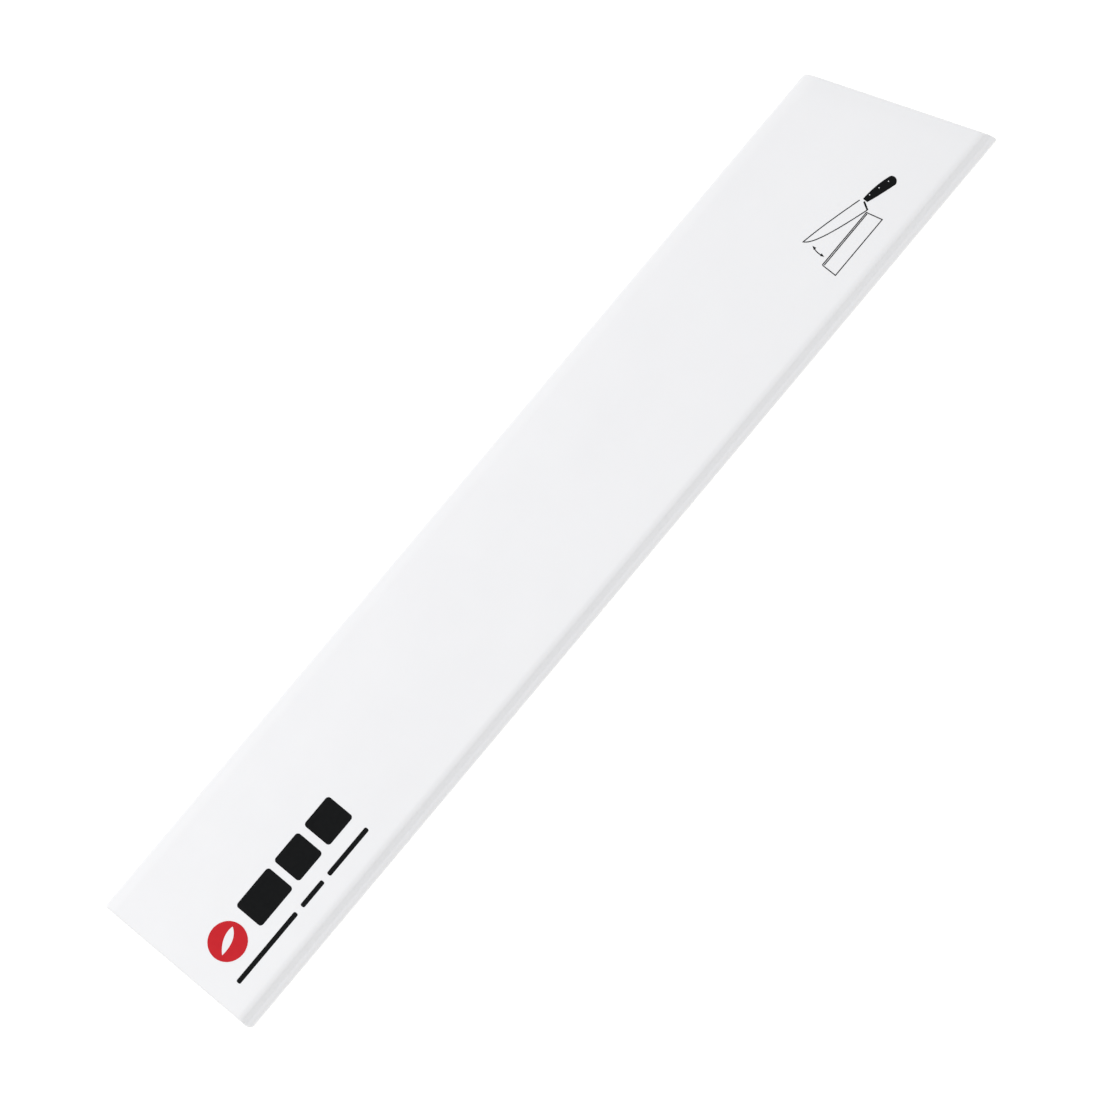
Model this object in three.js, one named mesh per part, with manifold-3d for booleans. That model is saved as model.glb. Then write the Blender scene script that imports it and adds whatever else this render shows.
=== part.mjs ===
// Magnetic blade guard for a large kitchen knife: two flat leaves, joined along one long side by a
// spine strip with a living hinge at each of its edges, and open along the other long side, the mouth.
// The guard is drawn closed, lying on its back leaf, in millimetres. X runs along it, from the square
// tip end to the slanted heel end. Y runs across it, from the spine to the mouth, and Z through its
// thickness, with the origin under the middle of its bounding box.

import * as THREE from "three";
import { mergeVertices } from "three/addons/utils/BufferGeometryUtils.js";
import Module from "manifold-3d";

const wasm = await Module();
wasm.setup();

// The whole guard
const LENGTH = 305; // along the spine
const WIDTH = 52.5; // from the outside of the spine to the mouth
const THICKNESS = 6.8; // closed
const HEEL_RUN = 17.6; // how much shorter the guard is along the mouth than along the spine

// One leaf, from its outer face inwards
const LEAF = 3.15; // the whole leaf, which leaves a slot of 0.5 between the two liners
const SKIN = 0.9; // moulded outer wall
const MAGNET = 1.5; // flexible magnet strip
const LINER = 0.6; // welded inner wall

// The leaf's long edges
const MOUTH_ROUND = { across: 4.1, deep: 2.1 }; // outer face rolls down to the mouth
const MOUTH_LEAD = 0.35; // small round on the inner edge, which leads the blade in
const SPINE_ROUND = { across: 2, deep: 1.1 }; // outer face rolls down to the hinge

// The pocket for the magnet strip, and the ledge around it that the liner is welded to
const POCKET_FROM_MOUTH = 4.8;
const POCKET_FROM_HINGE = 2;
const POCKET_FROM_ENDS = 2.4;
const LEDGE = 1;
const PLAY = 0.1; // around the magnet strip and the liner

// The spine: a strip with a crowned outside, between two living hinges
const WEB = 0.35; // thickness of a living hinge
const WEB_BEND = 0.12; // its inner radius when the guard is closed
const CROWN = 1.78; // how far the spine's outside bulges

const CURVE_SEGMENTS = 10;

const outsideOfSpine = -WIDTH / 2;
const mouth = WIDTH / 2;
const webOuter = WEB_BEND + WEB;
// A living hinge is a quarter ring. The leaf ends above its centre line and the spine strip beside it.
const webCentre = {
  y: outsideOfSpine + CROWN + webOuter,
  z: SPINE_ROUND.deep + webOuter,
};

const plastic = new THREE.MeshStandardMaterial({ color: 0xf1f1f4, roughness: 0.42, metalness: 0 });
const innerPlastic = new THREE.MeshStandardMaterial({ color: 0xe6e6e8, roughness: 0.55, metalness: 0 });
const ferrite = new THREE.MeshStandardMaterial({ color: 0x2d2a28, roughness: 0.8, metalness: 0 });

// X of the slanted heel end, which runs back from the spine to the mouth.
function heelEnd(y) {
  return LENGTH / 2 - (HEEL_RUN * (y - outsideOfSpine)) / WIDTH;
}

// A section in Y and Z run along the guard, to within inset of both ends.
function alongGuard(section, inset = 0) {
  const run = new THREE.ExtrudeGeometry(section, {
    depth: 1,
    bevelEnabled: false,
    curveSegments: CURVE_SEGMENTS,
  });
  const points = run.getAttribute("position");
  for (let i = 0; i < points.count; i++) {
    const y = points.getX(i);
    const z = points.getY(i);
    const atHeel = points.getZ(i) > 0.5;
    points.setXYZ(i, atHeel ? heelEnd(y) - inset : inset - LENGTH / 2, y, z);
  }
  return run;
}

// A rectangular section between two places across the guard and two heights.
function rectangle(yLow, yHigh, zLow, zHigh) {
  const corners = [
    [yLow, zLow],
    [yHigh, zLow],
    [yHigh, zHigh],
    [yLow, zHigh],
  ];
  return new THREE.Shape(corners.map(([y, z]) => new THREE.Vector2(y, z)));
}

function toSolid(geometry) {
  const bare = geometry.clone();
  bare.deleteAttribute("normal");
  bare.deleteAttribute("uv");
  const merged = mergeVertices(bare);
  return new wasm.Manifold(
    new wasm.Mesh({
      numProp: 3,
      vertProperties: merged.getAttribute("position").array,
      triVerts: new Uint32Array(merged.index.array),
    }),
  );
}

function toGeometry(solid) {
  const { vertProperties, triVerts } = solid.getMesh();
  const geometry = new THREE.BufferGeometry();
  geometry.setAttribute("position", new THREE.BufferAttribute(vertProperties, 3));
  geometry.setIndex(new THREE.BufferAttribute(triVerts, 1));
  return geometry;
}

// The outline of a leaf, with its outer face down: both long edges roll over to that face.
function leafSection() {
  const { across: mouthAcross, deep: mouthDeep } = MOUTH_ROUND;
  const { across: spineAcross, deep: spineDeep } = SPINE_ROUND;
  const hingeSide = webCentre.y;
  const section = new THREE.Shape();
  section.moveTo(hingeSide, LEAF);
  section.lineTo(hingeSide, spineDeep);
  section.absellipse(
    hingeSide + spineAcross, spineDeep, spineAcross, spineDeep, Math.PI, 1.5 * Math.PI,
  );
  section.lineTo(mouth - mouthAcross, 0);
  section.absellipse(
    mouth - mouthAcross, mouthDeep, mouthAcross, mouthDeep, 1.5 * Math.PI, 2 * Math.PI,
  );
  section.lineTo(mouth, LEAF - MOUTH_LEAD);
  section.absarc(mouth - MOUTH_LEAD, LEAF - MOUTH_LEAD, MOUTH_LEAD, 0, Math.PI / 2);
  return section;
}

// The moulded tray of a leaf: a pocket for the magnet strip, under a wider recess for the liner.
const pocket = {
  spineSide: webCentre.y + POCKET_FROM_HINGE,
  mouthSide: mouth - POCKET_FROM_MOUTH,
};
const linerSeat = LEAF - LINER;

function coverGeometry() {
  const overTheTop = LEAF + 1;
  const magnetPocket = rectangle(pocket.spineSide, pocket.mouthSide, SKIN, overTheTop);
  const linerRecess = rectangle(
    pocket.spineSide - LEDGE, pocket.mouthSide + LEDGE, linerSeat, overTheTop,
  );
  const tray = toSolid(alongGuard(leafSection()))
    .subtract(toSolid(alongGuard(magnetPocket, POCKET_FROM_ENDS)))
    .subtract(toSolid(alongGuard(linerRecess, POCKET_FROM_ENDS - LEDGE)));
  return toGeometry(tray);
}

function magnetGeometry() {
  const section = rectangle(
    pocket.spineSide + PLAY, pocket.mouthSide - PLAY, SKIN, SKIN + MAGNET,
  );
  return alongGuard(section, POCKET_FROM_ENDS + PLAY);
}

function linerGeometry() {
  const section = rectangle(
    pocket.spineSide - LEDGE + PLAY, pocket.mouthSide + LEDGE - PLAY, linerSeat, LEAF,
  );
  return alongGuard(section, POCKET_FROM_ENDS - LEDGE + PLAY);
}

// A living hinge, bent through a right angle from the leaf's end face to the spine strip's edge.
function webGeometry() {
  const section = new THREE.Shape();
  section.absarc(webCentre.y, webCentre.z, webOuter, Math.PI, 1.5 * Math.PI);
  section.absarc(webCentre.y, webCentre.z, WEB_BEND, 1.5 * Math.PI, Math.PI, true);
  return alongGuard(section);
}

// The spine strip: flat inside, with a crown outside that swells smoothly from one hinge to the other.
function spineGeometry() {
  const inside = webCentre.y - WEB_BEND;
  const crownRoot = webCentre.y - webOuter;
  const middle = THICKNESS / 2;
  const half = middle - webCentre.z;
  const swell = 0.93 * half; // where the crown leaves its root, from the middle
  const shoulder = 0.78 * half;
  const section = new THREE.Shape();
  section.moveTo(inside, middle - half);
  section.lineTo(inside, middle + half);
  section.lineTo(crownRoot, middle + half);
  section.bezierCurveTo(
    crownRoot, middle + swell, outsideOfSpine, middle + shoulder, outsideOfSpine, middle,
  );
  section.bezierCurveTo(
    outsideOfSpine, middle - shoulder, crownRoot, middle - swell, crownRoot, middle - half,
  );
  return alongGuard(section);
}

function piece(name, geometry, material) {
  const mesh = new THREE.Mesh(geometry, material);
  mesh.name = name;
  return mesh;
}

// A leaf and its living hinge, lying with its outer face down.
function leaf(side) {
  const group = new THREE.Group();
  group.add(
    piece(side + "_cover", coverGeometry(), plastic),
    piece(side + "_magnet_strip", magnetGeometry(), ferrite),
    piece(side + "_liner", linerGeometry(), innerPlastic),
    piece(side + "_hinge_web", webGeometry(), plastic),
  );
  return group;
}

const backLeaf = leaf("back");

// The front leaf is the back leaf's mirror image, at the top of the closed guard.
const frontLeaf = leaf("front");
frontLeaf.scale.z = -1;
frontLeaf.position.z = THICKNESS;

const guard = new THREE.Group();
guard.add(backLeaf, piece("spine_strip", spineGeometry(), plastic), frontLeaf);

export default guard;
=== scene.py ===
"""Looks of a magnetic blade guard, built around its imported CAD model.

The guard lies closed on its back leaf. X runs from the square tip end to the slanted heel end, Y from the
spine to the mouth, and Z through the thickness. Both leaves are the same moulding, so a piece is made for
the back leaf, and the front leaf's is its mirror image. Lengths are in metres.
"""

import math

import bmesh
import bpy
from mathutils import Matrix, Vector


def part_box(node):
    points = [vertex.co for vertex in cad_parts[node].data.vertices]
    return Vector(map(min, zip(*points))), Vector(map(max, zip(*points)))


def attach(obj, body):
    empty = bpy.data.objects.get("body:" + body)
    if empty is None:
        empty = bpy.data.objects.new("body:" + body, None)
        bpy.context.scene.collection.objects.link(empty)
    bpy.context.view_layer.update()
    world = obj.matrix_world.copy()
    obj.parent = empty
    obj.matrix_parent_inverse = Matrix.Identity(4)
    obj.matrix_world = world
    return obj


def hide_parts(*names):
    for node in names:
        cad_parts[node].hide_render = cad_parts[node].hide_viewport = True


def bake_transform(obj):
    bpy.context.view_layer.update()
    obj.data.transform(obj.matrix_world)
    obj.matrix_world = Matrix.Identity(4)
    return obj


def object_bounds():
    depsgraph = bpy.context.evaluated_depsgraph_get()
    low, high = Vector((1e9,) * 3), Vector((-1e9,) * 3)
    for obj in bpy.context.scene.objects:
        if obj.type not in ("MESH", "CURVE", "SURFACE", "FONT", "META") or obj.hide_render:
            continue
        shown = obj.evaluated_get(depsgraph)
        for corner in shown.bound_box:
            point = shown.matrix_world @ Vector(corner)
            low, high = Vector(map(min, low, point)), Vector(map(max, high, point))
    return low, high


MM = 0.001

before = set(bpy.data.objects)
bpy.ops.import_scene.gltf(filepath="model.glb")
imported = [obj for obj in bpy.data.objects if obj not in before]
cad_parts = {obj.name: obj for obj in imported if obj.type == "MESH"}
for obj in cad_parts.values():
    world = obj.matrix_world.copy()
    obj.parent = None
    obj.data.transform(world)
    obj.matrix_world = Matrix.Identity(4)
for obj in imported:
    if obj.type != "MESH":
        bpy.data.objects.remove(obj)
cad_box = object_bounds()

# ---------------------------------------------------------------- measures taken from the frame

cover_low, cover_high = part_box("back_cover")
spine_low, spine_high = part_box("spine_strip")
web_low, web_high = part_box("back_hinge_web")
liner_low, liner_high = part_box("back_liner")
magnet_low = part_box("back_magnet_strip")[0]

thickness = cad_box[1].z
leaf = cover_high.z
hinge_side = cover_low.y
mouth = cover_high.y
tip_end = cover_low.x
spine_outside = spine_low.y


def furthest_x(node, y):
    """The furthest X that a CAD node reaches in the plane at that Y."""
    close = 0.01 * MM
    return max(v.co.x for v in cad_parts[node].data.vertices if abs(v.co.y - y) < close)


heel_at_mouth = furthest_x("back_liner", liner_high.y)
heel_at_spine = furthest_x("back_liner", liner_low.y)
heel_slope = (heel_at_spine - heel_at_mouth) / (liner_high.y - liner_low.y)
heel_stretch = math.hypot(1, heel_slope)  # distance along X for each unit square to the slanted end


def heel_end(y):
    """X of the slanted heel end."""
    return spine_high.x - heel_slope * (y - spine_outside)


# ---------------------------------------------------------------- shape of the moulding

MOUTH_ROUND = (4.1 * MM, 2.1 * MM)  # how far the outer face's roll reaches across, and how deep
SPINE_ROUND = (2 * MM, web_low.z)
MOUTH_LEAD = 0.35 * MM  # small round on the inner edge, which leads the blade in
TIP_ROUND = 0.6 * MM  # rounding of the moulded ends, along the guard
HEEL_ROUND = 0.9 * MM
END_SHARES = (0.35, 1, 1.8, 0.35)  # of it, drawn in at the hinge, the mouth, and outside and inside
RECESS_CORNER = 0.5 * MM
LINER_CORNER = 0.6 * MM
LINER_ROUND = 0.12 * MM
LEAST_CORNER = 0.02 * MM  # where a corner would be drawn in to nothing
PLAY = 0.1 * MM  # between a recess and what sits in it
LEDGE = 1.0 * MM  # the liner is welded to this, all round the magnet's pocket
WELD = {"inset": 0.55 * MM, "width": 0.5 * MM, "depth": 0.1 * MM, "steps": 10}
STATION = 6 * MM  # spacing of the sections along the guard

CROWN_SWELL = 0.93  # pulls on the crown's curve, in parts of half the spine strip's height
CROWN_SHOULDER = 0.78
CROWN_ENDS = {"tip": 1.5 * MM, "heel": 0.5 * MM}  # rounding of the crown at the guard's ends
CROWN_NARROWING = 0.25  # how much the rest of the strip is drawn in there, in parts of the crown's
SPINE_ROUND_INSIDE = 0.05 * MM  # its two inner edges

WEB = 0.35 * MM  # thickness of a living hinge
WEB_BEND = 0.12 * MM  # its inner radius when the guard is closed
WEB_ROOT = 0.15 * MM  # how far it runs on into the pieces it joins
WEB_TUCK = 0.04 * MM  # and how far under their surfaces it lies there
WEB_ENDS = 0.8 * MM  # length over which it thins out at the guard's ends
WEB_THINNING = 0.6  # and how much of its size it loses there
CREASE_START = 200  # degrees round the leaf's roll, where it runs into the crease
CREASE_END = 6  # steps along the crown, where the crease runs out
web_centre = (hinge_side, web_high.z)
web_outer = WEB_BEND + WEB


def arc(centre, radii, first, last, steps):
    """Points of an elliptical arc in degrees, both ends included."""
    turns = [math.radians(first + (last - first) * k / steps) for k in range(steps + 1)]
    return [(centre[0] + radii[0] * math.cos(t), centre[1] + radii[1] * math.sin(t)) for t in turns]


def bezier(first, pull_first, pull_last, last, steps=18):
    """Points of a cubic curve, both ends included."""
    points = []
    for k in range(steps + 1):
        t = k / steps
        weights = (1 - t) ** 3, 3 * t * (1 - t) ** 2, 3 * t * t * (1 - t), t**3
        ends = (first, pull_first, pull_last, last)
        points.append(tuple(sum(w * p[axis] for w, p in zip(weights, ends)) for axis in (0, 1)))
    return points


def leaf_section():
    """A leaf's outline in Y and Z, with its outer face down."""
    across, deep = MOUTH_ROUND
    spine_across, spine_deep = SPINE_ROUND
    lead = (MOUTH_LEAD, MOUTH_LEAD)
    return [
        (hinge_side, leaf),
        *arc((hinge_side + spine_across, spine_deep), (spine_across, spine_deep), 180, 270, 14),
        *arc((mouth - across, deep), (across, deep), 270, 360, 24),
        *arc((mouth - MOUTH_LEAD, leaf - MOUTH_LEAD), lead, 0, 90, 6),
    ]


def crown():
    """Half of the spine strip's outside, from its root at the back leaf's hinge to its middle."""
    middle = thickness / 2
    half = spine_high.z - middle
    root, outside = web_centre[0] - web_outer, spine_outside
    pulls = (root, middle - CROWN_SWELL * half), (outside, middle - CROWN_SHOULDER * half)
    return bezier((root, middle - half), *pulls, (outside, middle))


def spine_section():
    """The spine strip's outline: flat inside, with a crown that swells smoothly between the hinges."""
    ease = SPINE_ROUND_INSIDE
    inside = spine_high.y - ease
    lower = list(reversed(crown()))
    upper = [(y, thickness - z) for y, z in reversed(lower[1:])]
    return [
        *arc((inside, thickness - spine_high.z + ease), (ease, ease), 270, 360, 3),
        *arc((inside, spine_high.z - ease), (ease, ease), 0, 90, 3),
        *upper,
        *lower,
    ]


def web_section():
    """A living hinge bent through a right angle, run on a little into the leaf and the spine strip.

    Its outside is one soft hollow, from the leaf's roll to the spine's crown.
    """
    y, z = web_centre
    across, deep = SPINE_ROUND
    roll = arc((hinge_side + across, deep), (across, deep), CREASE_START + 2, CREASE_START, 1)
    # A point just outside each end of the hollow gives the direction in which it sets off.
    before, at_leaf = (Vector(p) for p in roll)
    at_crown, beyond = (Vector(p) for p in crown()[CREASE_END : CREASE_END + 2])
    reach = (at_crown - at_leaf).length / 3
    crown_pull = at_crown + (at_crown - beyond).normalized() * reach
    leaf_pull = at_leaf + (at_leaf - before).normalized() * reach
    hollow = bezier(at_crown, crown_pull, leaf_pull, at_leaf, 12)
    inner = arc((y, z), (WEB_BEND, WEB_BEND), 270, 180, 12)
    in_leaf = [(y + 2 * WEB_ROOT, deep), (y + WEB_ROOT, z - WEB_BEND - WEB_TUCK)]
    in_spine = [(y - WEB_BEND - WEB_TUCK, z + WEB_ROOT), (at_crown.x + WEB_ROOT, z + 2 * WEB_ROOT)]
    return [*hollow, *in_leaf, *inner, *in_spine]


# ---------------------------------------------------------------- mesh work


def new_object(name, bm):
    """A linked object of that bmesh, with its faces turned out and its creases sharp."""
    bmesh.ops.remove_doubles(bm, verts=bm.verts, dist=1e-7)
    bmesh.ops.recalc_face_normals(bm, faces=bm.faces)
    mesh = bpy.data.meshes.new(name)
    bm.to_mesh(mesh)
    bm.free()
    made = bpy.data.objects.new(name, mesh)
    bpy.context.scene.collection.objects.link(made)
    soften(made)
    return made


def soften(piece, angle=32):
    """Smooth shading that keeps edges over that many degrees sharp."""
    for face in piece.data.polygons:
        face.use_smooth = True
    piece.data.set_sharp_from_angle(angle=math.radians(angle))


def stack(name, rings):
    """A closed body of rings with the same number of points, bridged in order and closed at both ends."""
    bm = bmesh.new()
    rows = [[bm.verts.new(p) for p in ring] for ring in rings]
    bm.faces.new(rows[0])
    bm.faces.new(rows[-1])
    count = len(rows[0])
    for low, high in zip(rows, rows[1:]):
        for i in range(count):
            j = (i + 1) % count
            bm.faces.new((low[i], low[j], high[j], high[i]))
    return new_object(name, bm)


def draw_in(values, low_by, high_by):
    """Values spread evenly over a smaller range, drawn in by those amounts at its low and high ends."""
    low, high = min(values), max(values)
    share = 1 - (low_by + high_by) / (high - low)
    return [low + low_by + (value - low) * share for value in values]


def shrink(section, by, shares=(1, 1, 1, 1)):
    """The section drawn in by that much, times a share each for its low and high Y and low and high Z."""
    amounts = [by * share for share in shares]
    ys = draw_in([p[0] for p in section], *amounts[:2])
    zs = draw_in([p[1] for p in section], *amounts[2:])
    return list(zip(ys, zs))


def round_leaf(section, by):
    """A leaf's section drawn in, most on its outer face and least at its hinge and on its inner face."""
    return shrink(section, by, END_SHARES)


def fade_crown(section, by):
    """The spine strip's section with its crown flattened towards the inside by that much."""
    inside = max(y for y, _ in section)
    deep = inside - min(y for y, _ in section)
    narrowed = shrink(section, CROWN_NARROWING * by)
    return [(inside + (y - inside) * (1 - by / deep), z) for y, z in narrowed]


def thin_web(section, by):
    """A living hinge's section drawn in towards its bend, to less than half its size at the ends."""
    share = 1 - WEB_THINNING * by / WEB_ENDS
    y, z = web_centre
    return [(y + (a - y) * share, z + (b - z) * share) for a, b in section]


def end_rings(reach, steps=7):
    """For a rounded end: how far in from the end each section lies, and how much it is drawn in."""
    turns = [math.pi / 2 * k / steps for k in range(steps + 1)]
    return [(reach * (1 - math.cos(t)), reach * (1 - math.sin(t))) for t in turns]


def run_along(name, section, tip_round, heel_round, draw=shrink):
    """A section in Y and Z run the whole length of the guard, with both ends rounded over."""
    rings = []
    for inset, by in end_rings(tip_round):
        rings.append([(tip_end + inset, y, z) for y, z in draw(section, by)])
    stations = round((spine_high.x - tip_end) / STATION)
    for k in range(1, stations):
        share = k / stations
        ring = []
        for y, z in section:
            first = tip_end + tip_round
            last = heel_end(y) - heel_round * heel_stretch
            ring.append((first + (last - first) * share, y, z))
        rings.append(ring)
    for inset, by in reversed(end_rings(heel_round)):
        rings.append([(heel_end(y) - inset * heel_stretch, y, z) for y, z in draw(section, by)])
    return stack(name, rings)


def rounded(corners, radius, steps=6):
    """A polygon's corners, counter-clockwise, rounded to that radius."""
    points = []
    count = len(corners)
    for i, corner in enumerate(corners):
        here = Vector(corner)
        back = (Vector(corners[i - 1]) - here).normalized()
        onward = (Vector(corners[(i + 1) % count]) - here).normalized()
        half = back.angle(onward) / 2
        start = here + back * (radius / math.tan(half))
        end = here + onward * (radius / math.tan(half))
        centre = here + (back + onward).normalized() * (radius / math.sin(half))
        first = math.atan2(*(start - centre).yx)
        sweep = (math.atan2(*(end - centre).yx) - first + math.pi) % math.tau - math.pi
        for k in range(steps + 1):
            turn = first + sweep * k / steps
            points.append((centre.x + radius * math.cos(turn), centre.y + radius * math.sin(turn)))
    return points


def liner_border(inset, z, corner):
    """The liner's outline, drawn in by inset, at that height, with rounded corners."""
    low, high = liner_low.y + inset, liner_high.y - inset
    tip = liner_low.x + inset
    heel_low = heel_at_spine - heel_slope * inset - inset * heel_stretch
    heel_high = heel_at_mouth + heel_slope * inset - inset * heel_stretch
    corners = [(tip, low), (heel_low, low), (heel_high, high), (tip, high)]
    return [(x, y, z) for x, y in rounded(corners, corner)]


def cut_away(body, cutter):
    """Takes the cutter's shape out of the body, and removes the cutter."""
    cut = body.modifiers.new("cut", "BOOLEAN")
    cut.operation = "DIFFERENCE"
    cut.solver = "EXACT"
    cut.object = cutter
    bpy.context.view_layer.update()
    seen = body.evaluated_get(bpy.context.evaluated_depsgraph_get())
    mesh = bpy.data.meshes.new_from_object(seen)
    body.modifiers.clear()
    body.data = mesh
    bpy.data.objects.remove(cutter)
    soften(body)


def mirror_to_front(piece):
    """Turns a piece made for the back leaf into the front leaf's mirror image."""
    bm = bmesh.new()
    bm.from_mesh(piece.data)
    for vertex in bm.verts:
        vertex.co.z = thickness - vertex.co.z
    bmesh.ops.reverse_faces(bm, faces=bm.faces)
    bm.to_mesh(piece.data)
    bm.free()
    soften(piece)


# ---------------------------------------------------------------- the pieces


def make_cover(name):
    """The moulded outer wall of a leaf, with a recess for the liner over a pocket for the magnet."""
    cover = run_along(name, leaf_section(), TIP_ROUND, HEEL_ROUND, draw=round_leaf)
    above = leaf + MM
    for inset, bottom in ((-PLAY, liner_low.z), (LEDGE - PLAY, magnet_low.z)):
        borders = [liner_border(inset, z, RECESS_CORNER) for z in (bottom, above)]
        cut_away(cover, stack("cutter", borders))
    return cover


def make_liner(name):
    """The thin inner wall, with softened edges and the line of its weld pressed in all round."""
    top, bottom = liner_high.z, liner_low.z
    profile = [(LINER_ROUND, bottom), (0, bottom + LINER_ROUND)]
    profile += [(inset, top - sunk) for inset, sunk in end_rings(LINER_ROUND, 5)]
    for k in range(WELD["steps"] + 1):
        share = k / WELD["steps"]
        sunk = WELD["depth"] / 2 * (1 - math.cos(math.tau * share))
        profile.append((WELD["inset"] + WELD["width"] * (share - 0.5), top - sunk))
    corners = [max(LINER_CORNER - inset, LEAST_CORNER) for inset, _ in profile]
    rings = [liner_border(inset, z, corner) for (inset, z), corner in zip(profile, corners)]
    return stack(name, rings)


def make_spine(name):
    """The spine strip, whose crown dies away at both ends."""
    return run_along(name, spine_section(), CROWN_ENDS["tip"], CROWN_ENDS["heel"], draw=fade_crown)


def make_web(name):
    """A living hinge, which thins out at both ends."""
    return run_along(name, web_section(), WEB_ENDS, WEB_ENDS, draw=thin_web)


# ---------------------------------------------------------------- print on the front leaf

INK = 0.02 * MM  # thickness of the printed film
MITRE_LIMIT = 0.4  # keeps a sharp turn in a printed line from running out to a point


def printed(name, outlines, lift=0.0):
    """A film of ink on the front face, made of flat closed outlines given in millimetres."""
    bm = bmesh.new()
    low = thickness + lift
    for outline in outlines:
        base = [bm.verts.new((x * MM, y * MM, low)) for x, y in outline]
        cap = [bm.verts.new((x * MM, y * MM, low + INK)) for x, y in outline]
        bm.faces.new(list(reversed(base)))
        bm.faces.new(cap)
        for i, point in enumerate(base):
            j = (i + 1) % len(base)
            bm.faces.new((point, base[j], cap[j], cap[i]))
    return new_object(name, bm)


def bar(left, bottom, right, top, corner):
    """A rectangle with rounded corners."""
    return rounded([(left, bottom), (right, bottom), (right, top), (left, top)], corner)


def stroke(points, width):
    """The outline of an open line of that width, with mitred turns."""
    path = [Vector(p) for p in points]
    left, right = [], []
    for i, here in enumerate(path):
        before = (here - path[i - 1]).normalized() if i else None
        after = (path[i + 1] - here).normalized() if i + 1 < len(path) else None
        along = ((before or after) + (after or before)).normalized()
        side = Vector((-along.y, along.x))
        reach = width / 2 / max(MITRE_LIMIT, along.dot(after or before))
        left.append(tuple(here + side * reach))
        right.append(tuple(here - side * reach))
    return right + list(reversed(left))


def circle(centre, radius, steps):
    """The corners of a circle, with no point twice."""
    turns = [math.tau * k / steps for k in range(steps)]
    return [(centre[0] + radius * math.cos(t), centre[1] + radius * math.sin(t)) for t in turns]


# ---------------------------------------------------------------- materials


class Graph:
    """A material's node tree, with short ways to add and join nodes."""

    def __init__(self, name):
        self.material = bpy.data.materials.new(name)
        self.material.use_nodes = True
        self.nodes = self.material.node_tree.nodes
        self.links = self.material.node_tree.links
        self.shader = self.nodes["Principled BSDF"]
        self.place = self.nodes.new("ShaderNodeTexCoord").outputs["Object"]

    def link(self, output, target):
        self.links.new(output, target)

    def noise(self, size, stretch=(1, 1, 1), detail=3.0, rough=0.5):
        """Noise whose features are about that many metres across, longer where stretch is larger."""
        mapping = self.nodes.new("ShaderNodeMapping")
        mapping.inputs["Scale"].default_value = [1 / (size * s) for s in stretch]
        texture = self.nodes.new("ShaderNodeTexNoise")
        texture.inputs["Scale"].default_value = 1.0
        texture.inputs["Detail"].default_value = detail
        texture.inputs["Roughness"].default_value = rough
        self.link(self.place, mapping.inputs["Vector"])
        self.link(mapping.outputs["Vector"], texture.inputs["Vector"])
        return texture.outputs["Fac"]

    def spread(self, value, low, high, first=0.3, last=0.7):
        """Maps a value's range from first to last onto low to high."""
        node = self.nodes.new("ShaderNodeMapRange")
        for name, number in zip(("From Min", "From Max", "To Min", "To Max"), (first, last, low, high)):
            node.inputs[name].default_value = number
        self.link(value, node.inputs["Value"])
        return node.outputs["Result"]

    def add(self, one, other):
        node = self.nodes.new("ShaderNodeMath")
        node.operation = "ADD"
        self.link(one, node.inputs[0])
        self.link(other, node.inputs[1])
        return node.outputs[0]

    def colour(self, value, low, high):
        """Blends two colours by a value."""
        node = self.nodes.new("ShaderNodeMix")
        node.data_type = "RGBA"
        node.inputs["A"].default_value = (*low, 1)
        node.inputs["B"].default_value = (*high, 1)
        self.link(value, node.inputs["Factor"])
        self.link(node.outputs["Result"], self.shader.inputs["Base Color"])

    def bump(self, height, depth):
        """Raises the surface by the height, in parts of depth metres, over any bump already there."""
        node = self.nodes.new("ShaderNodeBump")
        node.inputs["Distance"].default_value = depth
        node.inputs["Strength"].default_value = 1.0
        normal = self.shader.inputs["Normal"]
        if normal.is_linked:
            self.link(normal.links[0].from_socket, node.inputs["Normal"])
        self.link(height, node.inputs["Height"])
        self.link(node.outputs["Normal"], normal)


def satin_plastic():
    """White polypropylene: faint flow lines along the guard, a soft orange peel and fine handling marks."""
    g = Graph("satin_white_plastic")
    g.colour(g.noise(28 * MM, (2.5, 1, 1)), (0.835, 0.837, 0.855), (0.868, 0.87, 0.885))
    marks = g.spread(g.noise(0.9 * MM, (14, 1, 1), 2.0), 0.0, 0.05, 0.56, 0.72)
    cloud = g.spread(g.noise(9 * MM), 0.36, 0.45)
    g.link(g.add(cloud, marks), g.shader.inputs["Roughness"])
    g.bump(g.noise(24 * MM, (2.2, 1, 1), 1.0), 0.1 * MM)
    g.bump(g.noise(0.7 * MM, (1, 1, 1), 2.0), 0.0035 * MM)
    g.bump(g.noise(0.5 * MM, (60, 1, 1), 2.0), 0.0025 * MM)
    g.shader.inputs["IOR"].default_value = 1.49
    g.shader.inputs["Subsurface Weight"].default_value = 0.12
    g.shader.inputs["Subsurface Radius"].default_value = (1.0, 0.95, 0.9)
    g.shader.inputs["Subsurface Scale"].default_value = 0.8 * MM
    return g.material


def grained_plastic():
    """The liners' matt white sheet, with an even, fine leather grain."""
    g = Graph("grained_inner_plastic")
    g.colour(g.noise(18 * MM), (0.77, 0.77, 0.78), (0.815, 0.815, 0.822))
    cells = g.nodes.new("ShaderNodeTexVoronoi")
    cells.feature = "DISTANCE_TO_EDGE"
    cells.inputs["Scale"].default_value = 1 / (0.9 * MM)
    g.link(g.place, cells.inputs["Vector"])
    grain = g.spread(cells.outputs["Distance"], 0.0, 1.0, 0.0, 0.22)
    g.bump(grain, 0.03 * MM)
    g.link(g.spread(g.noise(5 * MM), 0.52, 0.64), g.shader.inputs["Roughness"])
    return g.material


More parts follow.
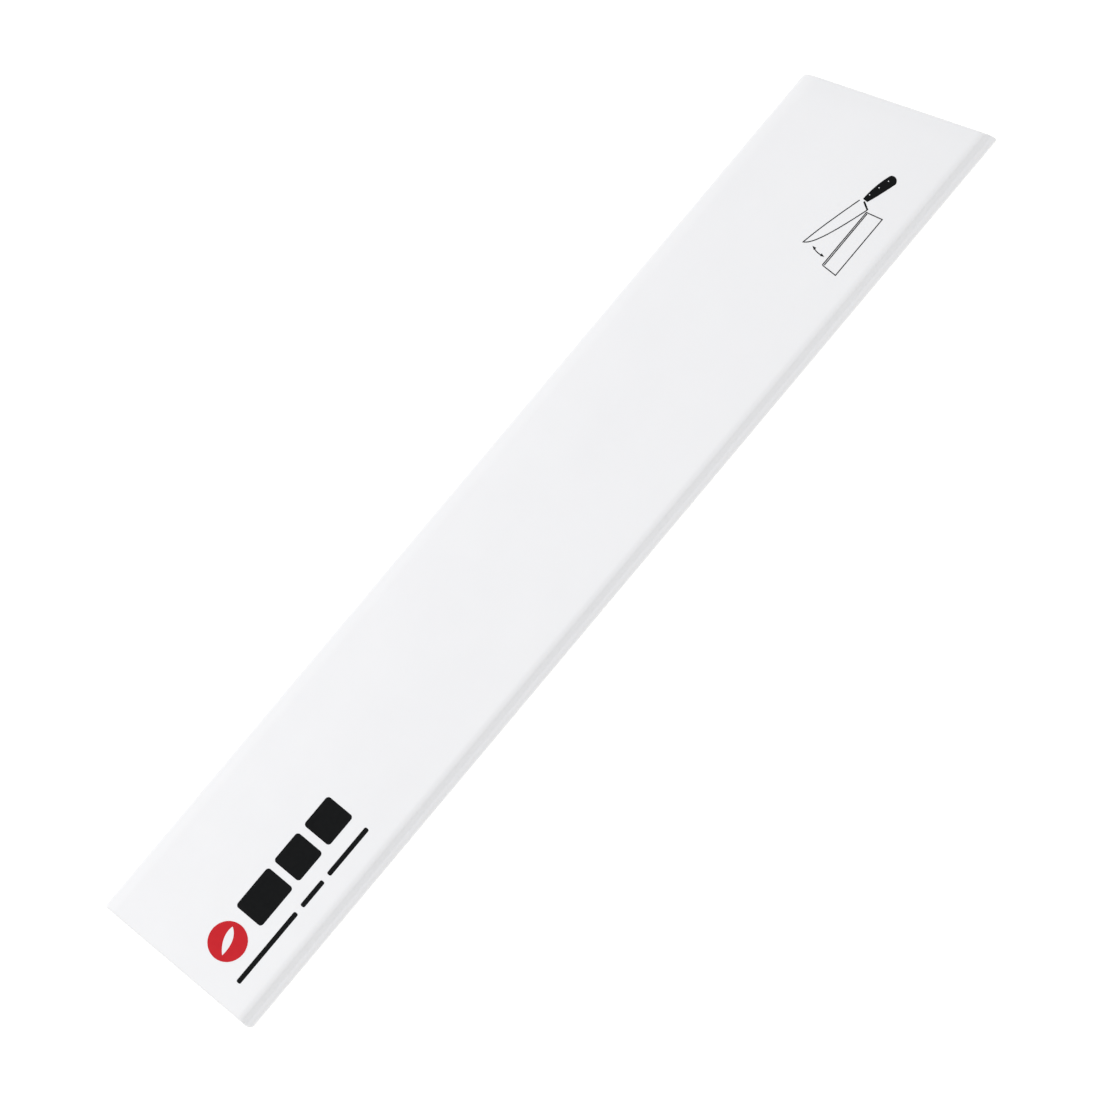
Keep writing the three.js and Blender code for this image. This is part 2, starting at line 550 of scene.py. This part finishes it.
def ferrite():
    """Dark rubber-bonded ferrite, with a ground face and paler grains."""
    g = Graph("flexible_ferrite")
    g.colour(g.noise(0.25 * MM, (1, 1, 1), 4.0), (0.028, 0.026, 0.025), (0.075, 0.07, 0.066))
    g.link(g.spread(g.noise(3 * MM), 0.6, 0.8), g.shader.inputs["Roughness"])
    g.bump(g.noise(0.4 * MM, (8, 1, 1)), 0.01 * MM)
    return g.material


def ink(name, low, high):
    """Screen ink, with a slightly uneven lay-down."""
    g = Graph(name)
    g.colour(g.noise(1.6 * MM), low, high)
    g.link(g.spread(g.noise(0.8 * MM), 0.48, 0.6), g.shader.inputs["Roughness"])
    g.bump(g.noise(0.35 * MM), 0.004 * MM)
    g.shader.inputs["Specular IOR Level"].default_value = 0.08
    return g.material


def wear(piece, material):
    piece.data.materials.clear()
    piece.data.materials.append(material)


# ---------------------------------------------------------------- building

outer = satin_plastic()
inner = grained_plastic()
magnet = ferrite()
black = ink("black_ink", (0.002, 0.0025, 0.003), (0.004, 0.0045, 0.005))
red = ink("red_ink", (0.53, 0.014, 0.022), (0.62, 0.02, 0.028))
white = ink("white_ink", (0.84, 0.84, 0.86), (0.88, 0.88, 0.9))

# Points at the middle of the web's thickness, where it meets the spine strip's edge and the leaf's end
# face.
web_at_spine = (web_centre[0] - WEB_BEND - WEB / 2, web_centre[1])
web_at_leaf = (web_centre[0], web_centre[1] - WEB_BEND - WEB / 2)

for side in ("back", "front"):
    body = side + "_leaf"
    cover = make_cover(side + "_cover_shell")
    liner = make_liner(side + "_liner_sheet")
    web = make_web(side + "_living_hinge")
    start, end = Vector((0, *web_at_spine)), Vector((0, *web_at_leaf))
    if side == "front":
        for piece in (cover, liner, web):
            mirror_to_front(piece)
        start.z, end.z = thickness - start.z, thickness - end.z
    for piece, material, slot in (
        (cover, outer, "outer_plastic"),
        (liner, inner, "inner_plastic"),
        (web, outer, "outer_plastic"),
    ):
        wear(piece, material)
    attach(cover, body)
    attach(liner, body)
    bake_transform(web)
    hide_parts(side + "_cover")
    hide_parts(side + "_liner")
    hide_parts(side + "_hinge_web")
    wear(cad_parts[side + "_magnet_strip"], magnet)

spine = make_spine("spine_bead")
wear(spine, outer)
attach(spine, "spine")
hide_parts("spine_strip")

# A plain generic device near the tip end: a disc with a blade in it, three bars and a broken rule.
blade_mark = [
    *bezier((-142.4, -8.2), (-140.0, -5.5), (-137.0, -4.7), (-134.9, -5.3)),
    *bezier((-134.9, -5.3), (-136.0, -7.5), (-138.8, -8.6), (-142.4, -8.2))[1:-1],
]
disc = circle((-138.7, -6.9), 5.5, 64)
BAR_FOOT, BAR_HEAD, BAR_CORNER = -11.4, -2.2, 1.0
bars = [
    bar(left, BAR_FOOT, right, BAR_HEAD, BAR_CORNER)
    for left, right in ((-130.2, -117.0), (-114.8, -105.0), (-102.6, -92.6))
]
RULE_FOOT, RULE_HEAD, RULE_CORNER = -17.1, -15.7, 0.5
rule = [
    bar(left, RULE_FOOT, right, RULE_HEAD, RULE_CORNER)
    for left, right in ((-145.2, -121.4), (-119.2, -110.6), (-108.4, -92.6))
]
label = [
    (printed("mark_disc", [disc]), red),
    (printed("mark_blade", [blade_mark], lift=INK), white),
    (printed("mark_bars", bars), black),
    (printed("mark_rule", rule), black),
]

# A diagram of use near the heel end: a chef's knife swinging edge first into the mouth, about its heel.
THIN_LINE, THICK_LINE = 0.28, 0.5
guard_outline = [(97.5, -12.65), (115.6, -12.65), (116.7, -17.3), (97.5, -17.3), (97.5, -12.8)]
slot_line = [(97.8, -13.1), (115.4, -13.05)]
blade_outline = [
    *bezier((117.1, -9.0), (111.0, -7.2), (103.6, -5.2), (99.2, -4.45)),
    *bezier((99.2, -4.45), (100.3, -6.9), (107.0, -9.4), (116.2, -12.4))[1:],
]
heel_line = [(117.5, -10.2), (116.9, -11.3), (116.25, -12.5)]
handle = [
    *bezier((117.9, -9.5), (120.6, -9.5), (124.2, -10.1), (127.0, -11.2)),
    *bezier((127.0, -11.2), (128.0, -11.7), (127.9, -13.6), (126.2, -13.9))[1:],
    *bezier((126.2, -13.9), (124.0, -13.2), (121.0, -12.3), (117.9, -11.0))[1:],
]
RIVET = 0.15
rivets = [circle(place, RIVET, 16) for place in ((119.8, -10.2), (122.8, -10.95), (125.7, -11.8))]
swing = bezier((99.65, -8.0), (99.3, -8.9), (99.25, -9.9), (99.4, -10.7))
swing_heads = [
    [(99.9, -7.1), (99.25, -8.2), (100.1, -8.3)],
    [(99.5, -11.6), (99.0, -10.5), (99.85, -10.45)],
]
label += [
    (printed("diagram_guard", [stroke(guard_outline, THIN_LINE), stroke(slot_line, THIN_LINE)]), black),
    (printed("diagram_blade", [stroke(blade_outline, THIN_LINE)]), black),
    (printed("diagram_heel", [stroke(heel_line, THICK_LINE)]), black),
    (printed("diagram_handle", [handle]), black),
    (printed("diagram_rivets", rivets, lift=INK), white),
    (printed("diagram_arrow", [stroke(swing, THIN_LINE), *swing_heads]), black),
]
for piece, material in label:
    wear(piece, material)
    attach(piece, "front_leaf")

# ---------------------------------------------------------------- floor, light and camera

FLOOR_REACH = 12.0  # metres to each side
FLOOR_DROP = 0.05 * MM  # the floor lies this far under the guard
FLOOR_GLOW = 0.79  # keeps the floor an even white, as in a cut-out photograph
SKY_LIGHT = 0.755
KEY = {"place": (-0.23, 0.54, 0.93), "size": 0.9, "power": 4.35}  # above the mouth side

TILT = math.radians(19)  # the guard is seen from above, this far over towards its spine
YAW = math.radians(2.7)  # and this far over towards its tip end
ROLL = math.radians(50)  # and turned until its length climbs this steeply to the right
DISTANCE = 2.2  # from the guard's middle to the camera
FIELD = 289.4 * MM  # width of the frame at the guard
AIM = (-0.4 * MM, -6.98 * MM)  # right and up from the guard's middle


def make_floor():
    """A wide pale floor that lights the guard from below as the sky does from above."""
    bm = bmesh.new()
    reach = FLOOR_REACH
    corners = [(-reach, -reach), (reach, -reach), (reach, reach), (-reach, reach)]
    bm.faces.new([bm.verts.new((x, y, -FLOOR_DROP)) for x, y in corners])
    floor = new_object("floor", bm)
    g = Graph("pale_floor")
    g.colour(g.noise(0.4), (0.34, 0.34, 0.34), (0.36, 0.36, 0.36))
    g.shader.inputs["Roughness"].default_value = 0.8
    g.shader.inputs["Emission Color"].default_value = (1, 1, 0.97, 1)
    g.shader.inputs["Emission Strength"].default_value = FLOOR_GLOW
    wear(floor, g.material)


def area_light(name, place, size, power):
    """A square soft box aimed at the middle of the guard."""
    light = bpy.data.lights.new(name, "AREA")
    light.shape = "SQUARE"
    light.size = size
    light.energy = power
    made = bpy.data.objects.new(name, light)
    bpy.context.scene.collection.objects.link(made)
    made.location = place
    made.rotation_mode = "QUATERNION"
    made.rotation_quaternion = (-Vector(place)).to_track_quat("-Z", "Y")


def make_world(strength):
    """An even white sky."""
    world = bpy.data.worlds.new("studio")
    world.use_nodes = True
    background = world.node_tree.nodes["Background"]
    background.inputs["Color"].default_value = (1, 1, 1, 1)
    background.inputs["Strength"].default_value = strength
    bpy.context.scene.world = world


def make_camera():
    """A camera at the photograph's viewing angle."""
    length = Vector((1, 0, 0))
    across = Vector((0, math.cos(TILT), math.sin(TILT)))
    square_on = length.cross(across)
    back = square_on * math.cos(YAW) - length * math.sin(YAW)
    along = length * math.cos(YAW) + square_on * math.sin(YAW)
    right = along * math.cos(ROLL) - across * math.sin(ROLL)
    up = along * math.sin(ROLL) + across * math.cos(ROLL)
    camera = bpy.data.cameras.new("camera")
    camera.sensor_width = 36
    camera.lens = camera.sensor_width * DISTANCE / FIELD
    camera.clip_end = 100
    made = bpy.data.objects.new("camera", camera)
    bpy.context.scene.collection.objects.link(made)
    middle = (cad_box[0] + cad_box[1]) / 2
    made.location = middle + right * AIM[0] + up * AIM[1] + back * DISTANCE
    made.rotation_mode = "QUATERNION"
    made.rotation_quaternion = Matrix((right, up, back)).transposed().to_quaternion()
    bpy.context.scene.camera = made


make_floor()
make_world(SKY_LIGHT)
area_light("key", KEY["place"], KEY["size"], KEY["power"])
make_camera()
scene = bpy.context.scene
scene.view_settings.view_transform = "Standard"
scene.view_settings.look = "None"
